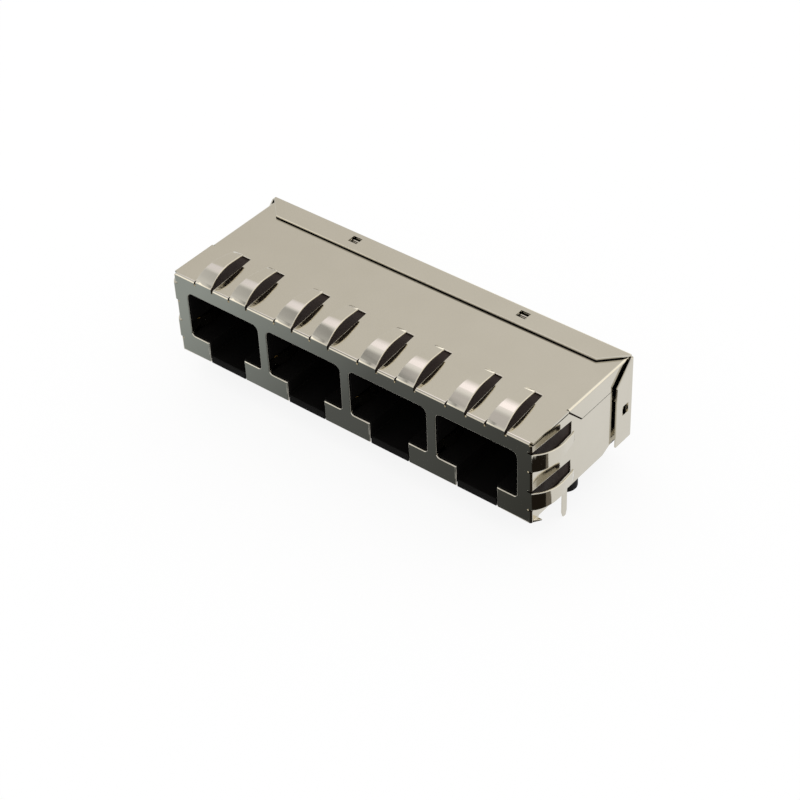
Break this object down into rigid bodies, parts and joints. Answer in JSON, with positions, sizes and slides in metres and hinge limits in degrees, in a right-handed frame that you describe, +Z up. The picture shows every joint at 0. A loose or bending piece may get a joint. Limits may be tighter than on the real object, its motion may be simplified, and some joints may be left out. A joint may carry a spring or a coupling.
{
  "type": "multi-port ethernet jack",
  "caption": "Shielded row of ethernet jack ports for a circuit board, with spring ground fingers along the front, a moulded housing, locating pegs, ground pins and solder tails.",
  "frame": {"origin": "on the board's face, midway between the two locating pegs", "axes": "+X along the row of ports, -Y the side that plugs go in from, +Z up from the board"},
  "size_m": [0.0622, 0.0211, 0.0186],
  "materials": {
    "shield": "satin nickel plate",
    "housing": "fine matte",
    "insert": "fine matte",
    "contact": "gold plate"
  },
  "bodies": {
    "root": {"front_shield": "shield", "rear_shield": "shield", "housing": "housing", "contact_insert_1": "insert", "contact_insert_2": "insert", "contact_insert_3": "insert", "contact_insert_4": "insert", "contact_1_1": "contact", "contact_1_2": "contact", "contact_1_3": "contact", "contact_1_4": "contact", "contact_1_5": "contact", "contact_1_6": "contact", "contact_1_7": "contact", "contact_1_8": "contact", "contact_2_1": "contact", "contact_2_2": "contact", "contact_2_3": "contact", "contact_2_4": "contact", "contact_2_5": "contact", "contact_2_6": "contact", "contact_2_7": "contact", "contact_2_8": "contact", "contact_3_1": "contact", "contact_3_2": "contact", "contact_3_3": "contact", "contact_3_4": "contact", "contact_3_5": "contact", "contact_3_6": "contact", "contact_3_7": "contact", "contact_3_8": "contact", "contact_4_1": "contact", "contact_4_2": "contact", "contact_4_3": "contact", "contact_4_4": "contact", "contact_4_5": "contact", "contact_4_6": "contact", "contact_4_7": "contact", "contact_4_8": "contact"}
  },
  "joints": []
}
